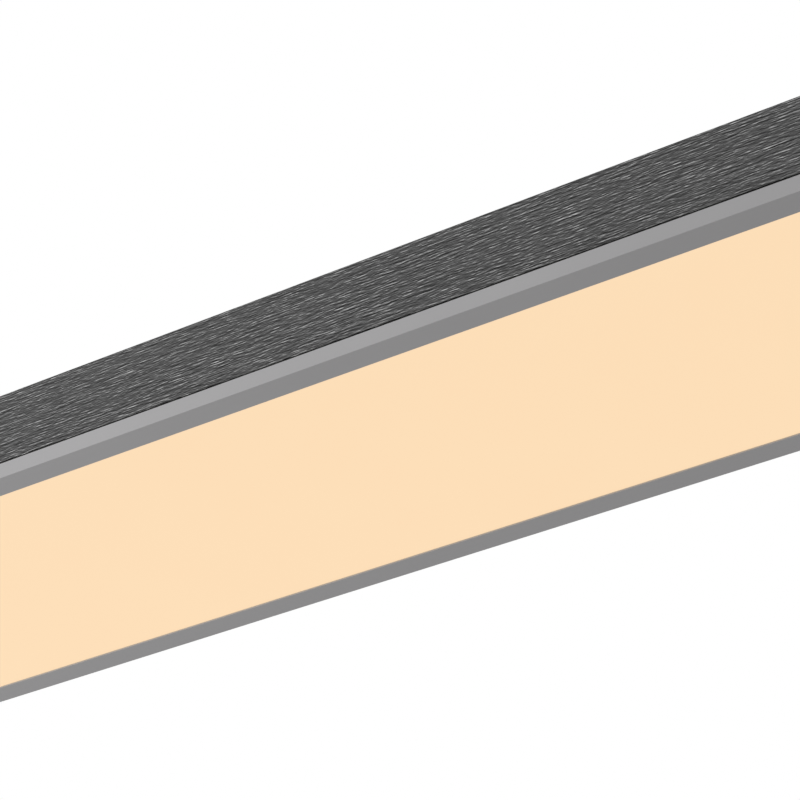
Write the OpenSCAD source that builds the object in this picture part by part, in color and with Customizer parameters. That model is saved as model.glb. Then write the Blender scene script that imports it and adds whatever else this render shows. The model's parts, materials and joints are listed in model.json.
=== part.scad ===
// Hanging linear shop light. A brushed aluminium channel carries the driver and the LED
// boards on a white tray, and a grey frame with an opal lens closes it from below. Two
// saddles slide in a track on top, each with a wire hanger that folds flat.
// X runs along the light, Y across it and Z up. The origin lies midway between the saddles,
// in the plane of their ceiling faces. Every size is in millimetres.

/* [Body] */
// Overall length over the end caps
body_l = 1200; // [1100:10:1500]
// Width over the side walls
body_w = 130; // [126:1:150]
// Height of the brushed side walls
wall_h = 40; // [39:0.5:50]
// Thickness of the side walls
wall_t = 1.8; // [1.5:0.1:2.2]
// Thickness of the top plate
top_t = 2; // [1.6:0.1:2.4]
// Rounding of the housing's two top edges
edge_r = 0.5; // [0.3:0.1:1]
// Depth of the grooves in the top plate
groove_depth = 0.6; // [0.4:0.1:0.8]

/* [End caps] */
// Length of each end cap along the light
cap_l = 8; // [7:0.5:12]
// Thickness of an end cap's face and rim
cap_t = 2.4; // [2:0.1:3]
// Bevel on the upright edges of an end cap
cap_bevel = 1.2; // [0.6:0.1:1.8]
// Thickness of the seal between an end cap and the housing
cap_seal_t = 1; // [0.6:0.1:2]
// Radius of the end cap screws
cap_screw_r = 2; // [1.5:0.1:2.2]

/* [Lens frame] */
// Height of the frame's outer side
frame_h = 8.2; // [7.8:0.1:11]
// Width of the frame's face around the lens
frame_face = 9.4; // [8.8:0.1:14]
// Thickness of the frame's outer side
frame_t = 1.2; // [0.9:0.1:1.5]
// Thickness of the ledge under the lens
ledge_t = 0.8; // [0.6:0.1:1.2]
// Thickness of the opal lens
lens_t = 2; // [1.5:0.1:2.4]
// Height of the dark reveal between the frame and the housing
reveal = 0.8; // [0.5:0.1:2]
// How far the lens frame drops out for service
frame_drop = 60; // [40:5:80]

/* [Hangers] */
// Distance between the two saddles
saddle_pitch = 900; // [700:10:960]
// Length of a saddle along the track
saddle_l = 64; // [62:1:90]
// Thickness of the saddle's steel
saddle_t = 2; // [1.6:0.1:2.4]
// Width of the saddle's raised middle
hat_w = 36; // [32:1:44]
// Height of the raised middle
hat_h = 12; // [11:0.5:16]
// Distance between the two ceiling screw holes of one saddle
ceiling_pitch = 44; // [40:1:46]
// Radius of the ceiling screw holes
ceiling_hole_r = 3.25; // [2.5:0.05:3.5]
// Width between the webs of the track
track_w = 94; // [86:1:98]
// Thickness of the track's webs and lips
track_t = 1.6; // [1.2:0.1:2]
// Reach of each lip of the track over the saddle
lip_reach = 4; // [3:0.5:6]
// Radius of the hanger's wire
wire_r = 2; // [1.6:0.1:2.2]
// Lean of each leg of the hanger from upright, in degrees
leg_lean = 20; // [18:1:28]
// Radius of the hanger's bends, to the middle of the wire
bend_r = 5; // [4.5:0.5:7]
// Radius of the hanger's top, to the middle of the wire
crown_r = 8; // [7:0.5:10]

/* [Lamp gear] */
// Height of the driver
driver_h = 18; // [17:0.5:19]
// Length of the driver's case
driver_l = 280; // [240:5:320]
// Width of the driver's case
driver_w = 42; // [38:1:48]
// Thickness of the tray's sheet
tray_t = 1; // [0.8:0.1:1.2]
// Height of the shelf that the tray rests on, above the housing's lower edge
shelf_z = 8; // [7.6:0.1:9]
// Width of an LED board
board_w = 18; // [14:1:22]
// Thickness of an LED board
board_t = 1.6; // [1:0.1:2]
// Distance of each row of LED boards from the middle
row_y = 27; // [24:1:30]
// Distance between LEDs along a board
led_pitch = 20; // [15:1:30]
// Radius of the insulated wires inside
lead_r = 1.2; // [0.9:0.1:1.3]
// Radius of the supply cable that the gland takes
cable_r = 3.8; // [3:0.1:4.2]

/* [Clearances] */
// Gap around a saddle in its track
slide_gap = 0.3; // [0.2:0.05:0.4]
// Gap around a piece that drops or slides into place
fit_gap = 0.3; // [0.2:0.05:0.4]
// Radial gap of pins and screws in their holes
pin_gap = 0.1; // [0.05:0.01:0.15]

/* [Hidden] */

$fn = 48;
cut = 1; // how far a cutting shape runs past the face it cuts

brushed = "#5b5b5b";
cap_grey = "#4a4a4b";
frame_grey = "#8f8f8f";
opal = "#fddfb9";
seal_black = "#1c1c1c";
zinc = "#b9bcbd";
tray_white = "#eeeeea";

// Heights, from the ceiling face down to the underside of the frame
base_z = -hat_h;
top_z = base_z - slide_gap;
under_z = top_z - top_t;
wall_z = top_z - wall_h;
frame_top_z = wall_z - reveal;
frame_z = frame_top_z - frame_h;
track_gap = saddle_t + 2 * slide_gap;
track_h = track_gap + track_t;

// Lengths and widths that several pieces share
inner_y = body_w / 2 - wall_t;
housing_l = body_l - 2 * (cap_l + cap_seal_t);
cap_x = body_l / 2 - cap_l;

// Screw ports in the four corners of the housing
port_wall = 1.4;
port_bore = cap_screw_r + pin_gap;
port_r = port_bore + port_wall;
port_inset = port_r - 0.4;
shelf_t = 1.5;
shelf_w = 9;
shelf_low = wall_z + shelf_z;
shelf_top = shelf_low + shelf_t;
low_port_z = shelf_top + tray_t + 1.5 + port_r;
high_port_z = under_z - port_inset;
port_y = inner_y - port_inset;

// Tray and LED boards
driver_room = 0.8;
plate_top = under_z - driver_h - driver_room;
plate_low = plate_top - tray_t;
board_low = plate_low - board_t;
end_space = 48;
tray_l = body_l - 2 * end_space;
flange_y = inner_y - shelf_w - 0.4;
board_edge_y = row_y + board_w / 2;
slope_share = 0.5618; // the slope's share of the room between a board and the flange
plate_y = flange_y - slope_share * (flange_y - board_edge_y);
board_gap = 4;
board_l = tray_l / 2 - board_gap / 2 - 4;
led_edge = 18;
led_count = floor((board_l - 2 * led_edge) / led_pitch) + 1;

// Grommets of the tray, beside the rows of boards
grommet_x = 50;
grommet_hole_r = 4.5;
grommet_rim_r = grommet_hole_r + 1.2;
grommet_gap = 2.3;
grommet_y = row_y - board_w / 2 - grommet_gap - grommet_rim_r;

// Clips and tray screws along each side
clip_count = 4;
clip_pitch = tray_l / clip_count;
clip_t = 0.5;
clip_w = 14;
tray_screw_r = 1.5;

// Fin of the lens frame that the clips hold
fin_u = wall_t + 0.5;
fin_t = 1.2;
fin_h = shelf_z - 2;
bead = 0.5;
fin_inner_y = body_w / 2 - fin_u - fin_t;
clip_y = fin_inner_y - bead - fit_gap - 0.3;
tray_screw_y = clip_y - 3.2;

// Switch and gland in the right end cap
switch_y = -34;
gland_y = 22;
fitting_z = wall_z + wall_h / 2;
switch_w = 13;
switch_h = 19.4;
switch_depth = 19;
switch_rim = 1.4;
switch_lip = 1.6;
rocker_w = 10;
rocker_h = 15.4;
rocker_tilt = 9;
rocker_pin_r = 1;
rocker_axis = 0.8;
tab_l = 7;
tab_up = 4.4; // from the switch's middle to the middle of each tab
function tab_z(i) = fitting_z + (i == 0 ? tab_up : -tab_up);
gland_thread_r = 8;
gland_hex_r = 10.8;
gland_hex_h = 5;
gland_barrel_r = 7.4;
gland_barrel_h = 9;
gland_nut_h = 15;
gland_locknut_h = 4.5;

// Hanger and clamp screws. On each flange of a saddle lie, from the raised middle out, the
// bend of the hanger, its leg and a clamp screw, up to the lip of the track. They share the
// room that is left over. Folded flat, the legs lie beside the raised middle.
clamp_r = 2;
clamp_head_r = 4;
lip_edge_y = track_w / 2 - lip_reach;
flange_room = lip_edge_y - hat_w / 2 - bend_r - wire_r - 2 * clamp_head_r;
leg_share = 0.71331;
lip_share = 0.18669;
clamp_y = lip_edge_y - clamp_head_r - lip_share * flange_room;
pivot_z = base_z + hat_h / 2;
stub_in = hat_w / 2 - saddle_t - 1.5;
fold_gap = 0.6;
leg_foot = [
    hat_w / 2 + bend_r + leg_share * flange_room, bend_r + bend_r * sin(leg_lean)
];
stub_out = leg_foot[0] - bend_r * cos(leg_lean);
crown_z = leg_foot[1] + (leg_foot[0] * cos(leg_lean) - crown_r) / sin(leg_lean);
leg_head = [crown_r * cos(leg_lean), crown_z + crown_r * sin(leg_lean)];
leg_l = norm(leg_head - leg_foot);

// Inner side of a folded leg, with its clearance, at the distance x from the pivot
function fold_y(x) = leg_foot[0] - (x - leg_foot[1]) * tan(leg_lean)
    - wire_r / cos(leg_lean) - fold_gap;

// Driver and terminals on the tray, in a row from the grommets to the switch
driver_gap = 40;
driver_x = grommet_x + driver_gap + driver_l / 2;
terminal_gap = 70;
terminal_x = driver_x + driver_l / 2 + terminal_gap;
terminal_y = 0;
terminal_size = [20, 32, 14];

// Shapes that several pieces use

// A flat shape in Y and Z, run along X about the middle
module along_x(l) rotate([90, 0, 90]) linear_extrude(l, center = true) children();

// A flat shape in Y and Z, run along X from x0 towards the right
module from_x(x0, l) translate([x0, 0, 0]) rotate([90, 0, 90]) linear_extrude(l) children();

// A rectangle between two corners
module rect(x0, y0, x1, y1) {
    translate([min(x0, x1), min(y0, y1)]) square([abs(x1 - x0), abs(y1 - y0)]);
}

// A rectangle about the middle with round corners
module round_rect(w, h, r) {
    square([w, h - 2 * r], center = true);
    square([w - 2 * r, h], center = true);
    for (x = [-1, 1], y = [-1, 1])
        translate([x * (w / 2 - r), y * (h / 2 - r)]) circle(r);
}

// The same children on both sides of the light
module both_sides() {
    children();
    mirror([0, 1, 0]) children();
}

// The same children at both ends of the light
module both_ends() {
    children();
    mirror([1, 0, 0]) children();
}

// Pan head screw along Z, its head on top of z = 0 and its shank below
module pan_screw(r, l, head_r, head_h) {
    slot = head_r * 0.3;
    difference() {
        cylinder(h = head_h, r = head_r);
        for (a = [0, 90])
            rotate([0, 0, a])
                translate([-head_r * 0.6, -slot / 2, head_h * 0.45])
                    cube([head_r * 1.2, slot, head_h]);
    }
    translate([0, 0, -l]) cylinder(h = l, r = r);
}

// Round wire along a list of points, as one closed tube
function unit(v) = v / norm(v);
function heading(p, i) = unit(p[min(i + 1, len(p) - 1)] - p[max(i - 1, 0)]);
function ring_at(c, d, ref, r, n) =
    let (a = unit(cross(ref, d)), b = cross(d, a))
    [for (k = [0:n - 1]) c + r * (cos(360 * k / n) * a + sin(360 * k / n) * b)];

module tube(p, r, ref = [0, 0, 1], n = 8) {
    m = len(p);
    points = [for (i = [0:m - 1]) each ring_at(p[i], heading(p, i), ref, r, n)];
    sides = [
        for (i = [0:m - 2], k = [0:n - 1])
        let (a = i * n + k, b = i * n + (k + 1) % n)
        each [[b, a, a + n], [b, a + n, b + n]]
    ];
    first = [for (k = [1:n - 2]) [0, k, k + 1]];
    last = [for (k = [1:n - 2]) [(m - 1) * n, (m - 1) * n + k + 1, (m - 1) * n + k]];
    polyhedron(points, concat(first, sides, last));
}

// A smooth curve through the points, with k steps from each to the next
function between(a, b, c, d, t) =
    0.5 * (2 * b + (c - a) * t + (2 * a - 5 * b + 4 * c - d) * t * t
    + (3 * b - a - 3 * c + d) * t * t * t);
function curve(p, k) = concat(
    [
        for (i = [0:len(p) - 2], j = [0:k - 1])
        between(p[max(i - 1, 0)], p[i], p[i + 1], p[min(i + 2, len(p) - 1)], j / k)
    ],
    [p[len(p) - 1]]);

// Housing

module housing_section() {
    difference() {
        union() {
            difference() {
                rect(-body_w / 2, wall_z, body_w / 2, top_z);
                rect(-inner_y, wall_z - cut, inner_y, under_z);
                for (s = [-1, 1])
                    rect(s * body_w / 2, top_z, s * (body_w / 2 - edge_r), top_z - edge_r);
            }
            for (s = [-1, 1]) {
                translate([s * (body_w / 2 - edge_r), top_z - edge_r]) circle(edge_r);
                rect(s * inner_y, shelf_low, s * (inner_y - shelf_w), shelf_top);
                for (z = [low_port_z, high_port_z])
                    translate([s * port_y, z]) circle(port_r);
                rect(s * track_w / 2, top_z - edge_r,
                    s * (track_w / 2 + track_t), top_z + track_h);
                rect(s * (track_w / 2 + track_t), top_z + track_gap,
                    s * (track_w / 2 - lip_reach), top_z + track_h);
            }
        }
        for (s = [-1, 1], z = [low_port_z, high_port_z])
            translate([s * port_y, z]) circle(port_bore);
        for (y = groove_ys())
            translate([y, top_z]) square([groove_w, 2 * groove_depth], center = true);
    }
}
groove_pitch = 5;
groove_w = 1.6;
function groove_ys() = concat(
    [for (i = [-5:5]) i * groove_pitch],
    [for (s = [-1, 1], i = [1.4, 2.3]) s * (body_w / 2 - i * groove_pitch)]);

module housing() {
    color(brushed)
        difference() {
            along_x(housing_l) housing_section();
            for (s = [-1, 1], i = [0:clip_count - 1])
                translate([clip_x(i), s * tray_screw_y, shelf_low - cut])
                    cylinder(h = shelf_t + 2 * cut, r = tray_screw_r + pin_gap);
        }
}
function clip_x(i) = (i - (clip_count - 1) / 2) * clip_pitch;

// End caps

lug_t = 1.6;
lug_l = 4;
rise_w = track_w + 2 * track_t;

module cap_outline() {
    rect(-body_w / 2, wall_z, body_w / 2, top_z - edge_r);
    rect(-body_w / 2 + edge_r, wall_z, body_w / 2 - edge_r, top_z);
    for (s = [-1, 1])
        translate([s * (body_w / 2 - edge_r), top_z - edge_r]) circle(edge_r);
    rect(-rise_w / 2, top_z - edge_r, rise_w / 2, top_z + track_h);
}

module cap_plan() {
    polygon([
        [cap_x, -body_w / 2], [body_l / 2 - cap_bevel, -body_w / 2],
        [body_l / 2, -body_w / 2 + cap_bevel], [body_l / 2, body_w / 2 - cap_bevel],
        [body_l / 2 - cap_bevel, body_w / 2], [cap_x, body_w / 2]
    ]);
}

module at_ports() {
    for (s = [-1, 1], z = [low_port_z, high_port_z])
        translate([0, s * port_y, z]) rotate([0, 90, 0]) children();
}

// The right end cap before its cut-outs
module cap_blank() {
    lug_low = low_port_z + port_r + 1;
    lug_high = high_port_z - port_r - 1;
    difference() {
        union() {
            difference() {
                intersection() {
                    from_x(cap_x, cap_l) cap_outline();
                    translate([0, 0, wall_z]) linear_extrude(wall_h + track_h) cap_plan();
                }
                from_x(cap_x - cut, cap_l - cap_t + cut)
                    rect(-body_w / 2 + cap_t, wall_z + cap_t, body_w / 2 - cap_t,
                        top_z - cap_t);
            }
            at_ports() translate([0, 0, cap_x]) cylinder(h = cap_l - cap_t + 0.5, r = port_r);
            for (s = [-1, 1])
                from_x(cap_x - cap_seal_t - lug_l, lug_l + cap_seal_t + cap_l - cap_t)
                    rect(s * (inner_y - fit_gap), lug_low,
                        s * (inner_y - fit_gap - lug_t), lug_high);
            from_x(cap_x - cap_seal_t - lug_l, lug_l + cap_seal_t + cap_l - cap_t)
                rect(-lug_w / 2, under_z - fit_gap - lug_t, lug_w / 2, under_z - fit_gap);
        }
        at_ports() {
            translate([0, 0, cap_x - cut])
                cylinder(h = cap_l + 2 * cut, r = cap_screw_r + pin_gap);
            translate([0, 0, body_l / 2 - cap_screw_r - pin_gap])
                cylinder(h = cap_screw_r + 2 * pin_gap, r1 = cap_screw_r + pin_gap,
                    r2 = 2 * cap_screw_r + 3 * pin_gap);
        }
    }
}
lug_w = 40;

module end_cap_left() {
    color(cap_grey) mirror([1, 0, 0]) cap_blank();
}

module end_cap_right() {
    color(cap_grey)
        difference() {
            cap_blank();
            from_x(cap_x - cut, cap_l + 2 * cut)
                translate([switch_y, fitting_z])
                    square([switch_w + 2 * pin_gap, switch_h + 2 * pin_gap], center = true);
            from_x(cap_x - cut, cap_l + 2 * cut)
                translate([gland_y, fitting_z]) circle(gland_thread_r + pin_gap);
        }
}

module end_seal_right() {
    seal_w = 3;
    color(seal_black)
        from_x(cap_x - cap_seal_t, cap_seal_t)
            difference() {
                union() {
                    difference() {
                        rect(-body_w / 2 + edge_r, wall_z, body_w / 2 - edge_r,
                            top_z - edge_r);
                        rect(-body_w / 2 + seal_w, wall_z - cut, body_w / 2 - seal_w,
                            top_z - seal_w);
                    }
                    for (s = [-1, 1], z = [low_port_z, high_port_z])
                        translate([s * port_y, z]) circle(port_r);
                }
                for (s = [-1, 1], z = [low_port_z, high_port_z])
                    translate([s * port_y, z]) circle(port_bore);
                for (s = [-1, 1])
                    rect(s * (inner_y - fit_gap + pin_gap), low_port_z + port_r + 0.8,
                        s * (inner_y - seal_w), high_port_z - port_r - 0.8);
                rect(-lug_w / 2 - pin_gap, under_z - fit_gap + pin_gap,
                    lug_w / 2 + pin_gap, under_z - 2 * seal_w);
            }
}

module end_seal_left() mirror([1, 0, 0]) end_seal_right();

module end_screws_right() {
    shank_l = cap_l + cap_seal_t + 9;
    color(zinc)
        at_ports()
            translate([0, 0, body_l / 2 - cap_screw_r])
                difference() {
                    union() {
                        cylinder(h = cap_screw_r, r1 = cap_screw_r, r2 = 2 * cap_screw_r);
                        translate([0, 0, -shank_l]) cylinder(h = shank_l, r = cap_screw_r);
                    }
                    translate([0, 0, cap_screw_r * 0.2])
                        cylinder(h = cap_screw_r, r = cap_screw_r * 0.7, $fn = 6);
                }
}

module end_screws_left() mirror([1, 0, 0]) end_screws_right();

// Lens frame

groove_u = frame_t + 0.5;
web_t = 0.9;
groove_h = lens_t + fit_gap;
web_v = ledge_t + groove_h;
channel_v = web_v + web_t;
roof_t = 1;
inner_u = frame_face - 1.6;

// Section of a frame rail: u runs inwards from the outer face and v up from the underside
module rail_section(fin) {
    rect(0, 0, frame_t, frame_h);
    rect(0, 0, frame_face, ledge_t);
    rect(0, web_v, inner_u + 1, channel_v);
    rect(inner_u, web_v, inner_u + 1, frame_h);
    rect(0, frame_h - roof_t, inner_u + 1, frame_h);
    if (fin) {
        fin_top = frame_h + reveal + fin_h;
        rect(fin_u, frame_h - roof_t, fin_u + fin_t, fin_top);
        translate([fin_u + fin_t - 0.1, fin_top - 0.9]) circle(bead + 0.1);
    }
}

// Plan of the front rail, mitred at both ends
module mitre_plan(l, w) {
    d = frame_face + 1;
    polygon([[-l / 2, -w / 2], [l / 2, -w / 2], [l / 2 - d, -w / 2 + d],
        [-l / 2 + d, -w / 2 + d]]);
}

module rail(l, w, fin_l) {
    intersection() {
        translate([0, -w / 2, frame_z]) along_x(l) rail_section(false);
        translate([0, 0, frame_z - cut]) linear_extrude(frame_h + 2 * cut) mitre_plan(l, w);
    }
    if (fin_l > 0)
        translate([0, -w / 2, frame_z]) along_x(fin_l) rail_section(true);
}

module frame_rail_front() {
    color(frame_grey) rail(body_l, body_w, housing_l - 2 * lug_l - 4);
}

module frame_rail_rear() {
    color(frame_grey) mirror([0, 1, 0]) rail(body_l, body_w, housing_l - 2 * lug_l - 4);
}

module frame_rail_left() {
    color(frame_grey) rotate([0, 0, -90]) rail(body_w, body_l, 0);
}

module frame_rail_right() {
    color(frame_grey) rotate([0, 0, 90]) rail(body_w, body_l, 0);
}

key_gap = 0.1;
key_arm = 26;
key_screw_at = 16;

// The front left corner key, in the two rails' hollow channels
module corner_key() {
    low = frame_z + channel_v + key_gap;
    high = frame_top_z - roof_t - key_gap;
    u0 = frame_t + key_gap;
    u1 = inner_u - key_gap;
    translate([-body_l / 2, -body_w / 2, low])
        linear_extrude(high - low)
            difference() {
                union() {
                    rect(u0, u0, key_arm, u1);
                    rect(u0, u0, u1, key_arm);
                }
                for (p = [[key_screw_at, (u0 + u1) / 2], [(u0 + u1) / 2, key_screw_at]])
                    translate(p) circle(key_screw_r + pin_gap / 2);
            }
}
key_screw_r = 1.25;

module frame_corner_keys() {
    color(zinc) both_ends() both_sides() corner_key();
}

// Grub screws that press each key down in its rail
module frame_key_screws() {
    low = frame_z + channel_v;
    u = (frame_t + inner_u) / 2;
    color(zinc)
        both_ends() both_sides()
            for (p = [[key_screw_at, u], [u, key_screw_at]])
                translate([-body_l / 2 + p[0], -body_w / 2 + p[1], low])
                    difference() {
                        cylinder(h = frame_top_z - roof_t - low, r = key_screw_r);
                        translate([0, 0, 1.2])
                            cylinder(h = 5, r = key_screw_r * 0.55, $fn = 6);
                    }
}

// Foam strip in the reveal, set back from the faces on both sides of it
module frame_seal() {
    set_back = 0.5;
    strip_w = wall_t - set_back;
    color(seal_black)
        translate([0, 0, frame_top_z])
            linear_extrude(reveal)
                difference() {
                    square([body_l - 2 * set_back, body_w - 2 * set_back], center = true);
                    square([body_l - 2 * (set_back + strip_w),
                        body_w - 2 * (set_back + strip_w)], center = true);
                }
}

module lens() {
    color(opal)
        translate([0, 0, frame_z + ledge_t])
            linear_extrude(lens_t)
                square([body_l - 2 * groove_u, body_w - 2 * groove_u], center = true);
}

// Spring clips under the shelf, with a knee that holds the bead of the frame's fin
module clip_section() {
    polygon([
        [tray_screw_y - 3, shelf_low], [tray_screw_y - 3, shelf_low - clip_t],
        [clip_y - clip_t, shelf_low - clip_t], [clip_y - clip_t, wall_z + 3.4],
        [clip_y - clip_t + 0.3, wall_z + 2.6], [clip_y - clip_t, wall_z + 1.6],
        [clip_y - clip_t - 1, wall_z + 0.6], [clip_y - 1, wall_z + 0.6],
        [clip_y, wall_z + 1.6], [clip_y + 0.3, wall_z + 2.6], [clip_y, wall_z + 3.4],
        [clip_y, shelf_low]
    ]);
}

module frame_clips() {
    color(zinc)
        for (i = [0:clip_count - 1])
            difference() {
                translate([clip_x(i), 0, 0]) along_x(clip_w) clip_section();
                translate([clip_x(i), tray_screw_y, shelf_low - clip_t - cut])
                    cylinder(h = clip_t + 2 * cut, r = tray_screw_r + pin_gap);
            }
}

module frame_clips_rear() {
    frame_clips();
}

module frame_clips_front() {
    mirror([0, 1, 0]) frame_clips();
}

// Screws up through clip, shelf and tray
module tray_screws() {
    color(zinc)
        both_sides()
            for (i = [0:clip_count - 1])
                translate([clip_x(i), tray_screw_y, shelf_low - clip_t])
                    mirror([0, 0, 1])
                        pan_screw(tray_screw_r, clip_t + shelf_t + tray_t + 1.5, 2.6, 1.6);
}

// Reflector tray

// Section of the tray: a raised plate between two slopes with flanges on the shelves
module tray_section() {
    out = inner_y - fit_gap;
    bend = tray_t * 0.6;
    half = [
        [plate_y, plate_top], [flange_y + bend, shelf_top + tray_t],
        [out, shelf_top + tray_t], [out, shelf_top], [flange_y, shelf_top],
        [plate_y - bend, plate_low]
    ];
    polygon(concat(half, [for (i = [5:-1:0]) [-half[i][0], half[i][1]]]));
}

module reflector_tray() {
    color(tray_white)
        difference() {
            along_x(tray_l) tray_section();
            for (s = [-1, 1]) {
                for (i = [0:clip_count - 1])
                    translate([clip_x(i), s * tray_screw_y, shelf_top - cut])
                        cylinder(h = tray_t + 2 * cut, r = tray_screw_r + pin_gap);
                translate([grommet_x, s * grommet_y, plate_low - cut])
                    cylinder(h = tray_t + 2 * cut, r = grommet_hole_r);
                for (x = board_screw_xs())
                    translate([x, s * row_y, plate_low - cut])
                        cylinder(h = tray_t + 2 * cut, r = board_screw_r + pin_gap);
            }
            for (x = driver_screw_xs())
                translate([x, 0, plate_low - cut])
                    cylinder(h = tray_t + 2 * cut, r = driver_screw_r + pin_gap);
            for (p = [terminal_screw_at, earth_at])
                translate([p[0], p[1], plate_low - cut])
                    cylinder(h = tray_t + 2 * cut, r = driver_screw_r + pin_gap);
        }
}

module tray_grommets() {
    rim = 1.2;
    wall = 1;
    color(seal_black)
        both_sides()
            translate([grommet_x, grommet_y, plate_low - rim])
                difference() {
                    union() {
                        cylinder(h = tray_t + 2 * rim, r = grommet_hole_r - pin_gap / 2);
                        cylinder(h = rim, r = grommet_rim_r);
                        translate([0, 0, rim + tray_t])
                            cylinder(h = rim, r = grommet_rim_r);
                    }
                    translate([0, 0, -cut])
                        cylinder(h = tray_t + 2 * rim + 2 * cut, r = grommet_hole_r - wall);
                }
}

// LED boards

board_screw_r = 1.5;
chip = [3.5, 2.8, 0.8];
connector = [9, 7, 3.2];
connector_x = 10;

function board_x() = board_gap / 2 + board_l / 2;
function board_screw_xs() =
    [for (e = [-1, 1], k = [0.08, 0.5, 0.94]) e * (board_gap / 2 + k * board_l)];
function led_x(i) = board_gap / 2 + board_l / 2 + (i - (led_count - 1) / 2) * led_pitch;

module led_board() {
    color(tray_white)
        difference() {
            translate([board_x(), row_y, board_low + board_t / 2])
                cube([board_l, board_w, board_t], center = true);
            for (x = board_screw_xs())
                translate([x, row_y, board_low - cut])
                    cylinder(h = board_t + 2 * cut, r = board_screw_r + pin_gap);
        }
}

module led_board_rear_right() led_board();
module led_board_rear_left() mirror([1, 0, 0]) led_board();
module led_board_front_right() mirror([0, 1, 0]) led_board();
module led_board_front_left() mirror([1, 0, 0]) mirror([0, 1, 0]) led_board();

// LEDs sit beside the middle line of a board, so that none falls on a screw
module led_chips() {
    color("#f4e08a")
        both_ends()
            for (i = [0:led_count - 1])
                translate([led_x(i) - chip[0] / 2, row_y + 3.6, board_low - chip[2]])
                    cube(chip);
}

module led_chips_rear() led_chips();
module led_chips_front() mirror([0, 1, 0]) led_chips();

module board_screws() {
    color(zinc)
        for (x = board_screw_xs(), s = [-1, 1])
            translate([x, s * row_y, board_low])
                mirror([0, 0, 1]) pan_screw(board_screw_r, board_t + tray_t + 1.2, 2.6, 1.6);
}

// White connectors at the boards' inner ends, with a mouth on the side of the grommets
module board_connectors() {
    color("#e9e7df")
        both_ends() both_sides()
            translate([connector_x, row_y - board_w / 2 + connector[1] / 2 + 1, board_low])
                difference() {
                    translate([0, 0, -connector[2] / 2]) cube(connector, center = true);
                    translate([0, -connector[1] / 2, -connector[2] / 2])
                        cube([connector[0] - 2, 4, connector[2] - 1.2], center = true);
                }
}

// Driver

driver_t = 0.8;
driver_ear = 12;
driver_screw_r = 2;
driver_floor = plate_top;
driver_half = driver_l / 2;
pcb_t = 1.6;
pcb_z = driver_floor + driver_t + 3;
pcb_top = pcb_z + pcb_t;
driver_terminal = [12, 24, 10];

function driver_screw_xs() =
    [for (e = [-1, 1]) driver_x + e * (driver_half + driver_ear / 2)];

module driver_case() {
    l = driver_l + 2 * driver_ear;
    color("#c9cccd")
        difference() {
            union() {
                translate([driver_x - l / 2, -driver_w / 2, driver_floor])
                    cube([l, driver_w, driver_t]);
                for (s = [-1, 1])
                    translate([driver_x - driver_half,
                        s > 0 ? driver_w / 2 - driver_t : -driver_w / 2, driver_floor])
                        cube([driver_l, driver_t, driver_h - driver_t]);
                for (x = [-0.42, 0, 0.42], s = [-1, 1])
                    translate([driver_x + x * driver_l, s * driver_w * 0.34, driver_floor])
                        cylinder(h = pcb_z - driver_floor, r = 2.2);
            }
            for (x = driver_screw_xs())
                translate([x, 0, driver_floor - cut])
                    cylinder(h = driver_t + 2 * cut, r = driver_screw_r + pin_gap);
        }
}

module driver_cover() {
    top = driver_floor + driver_h;
    color("#d9dbdc")
        difference() {
            translate([driver_x - driver_half, -driver_w / 2, driver_floor + driver_t])
                cube([driver_l, driver_w, driver_h - driver_t]);
            translate([driver_x - driver_half + driver_t, -driver_w / 2 - cut,
                driver_floor + driver_t - cut])
                cube([driver_l - 2 * driver_t, driver_w + 2 * cut,
                    driver_h - 2 * driver_t + cut]);
            for (s = [-1, 1])
                translate([driver_x - driver_half - cut,
                    s > 0 ? driver_w / 2 - driver_t : -driver_w / 2 - cut,
                    driver_floor])
                    cube([driver_l + 2 * cut, driver_t + cut, driver_h - driver_t]);
            for (e = [-1, 1])
                translate([driver_x + e * driver_half, 0, pcb_top + driver_terminal[2] / 2])
                    cube([4 * driver_t, driver_terminal[1] + 0.6,
                        driver_terminal[2] + 0.6], center = true);
        }
    }

module driver_board() {
    color("#2f6b45")
        translate([driver_x - driver_half + 2, -driver_w / 2 + driver_t + 0.4, pcb_z])
            cube([driver_l - 4, driver_w - 2 * driver_t - 0.8, pcb_t]);
}

// Two wound coils, each a core with its winding
module driver_transformer() {
    for (p = [[0.06, 26, 22], [0.3, 16, 16]])
        translate([driver_x + p[0] * driver_l, 0, pcb_top]) {
            color("#3a3a3c")
                difference() {
                    translate([-p[1] / 2, -p[2] / 2, 0]) cube([p[1], p[2], coil_h]);
                    for (s = [-1, 1])
                        translate([s * p[1] * 0.36, 0, coil_h / 2])
                            cube([p[1] * 0.12, p[2] * 0.7, coil_h + 2 * cut], center = true);
                }
        }
}
coil_h = driver_h - 2 * driver_t - 3 - pcb_t - 0.6;

module driver_capacitors() {
    r = coil_h * 0.46;
    pair_y = r + 0.848;
    pair_l = 22;
    filter_y = 9;
    filter_l = 16;
    color("#20242c")
        for (p = [[-0.3, pair_y, pair_l], [-0.3, -pair_y, pair_l], [0.18, filter_y, filter_l]])
            translate([driver_x + p[0] * driver_l, p[1], pcb_top + r])
                rotate([0, 90, 0])
                    union() {
                        cylinder(h = p[2], r = r);
                        translate([0, 0, p[2]]) cylinder(h = 0.6, r = r * 0.8);
                    }
}

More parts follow.
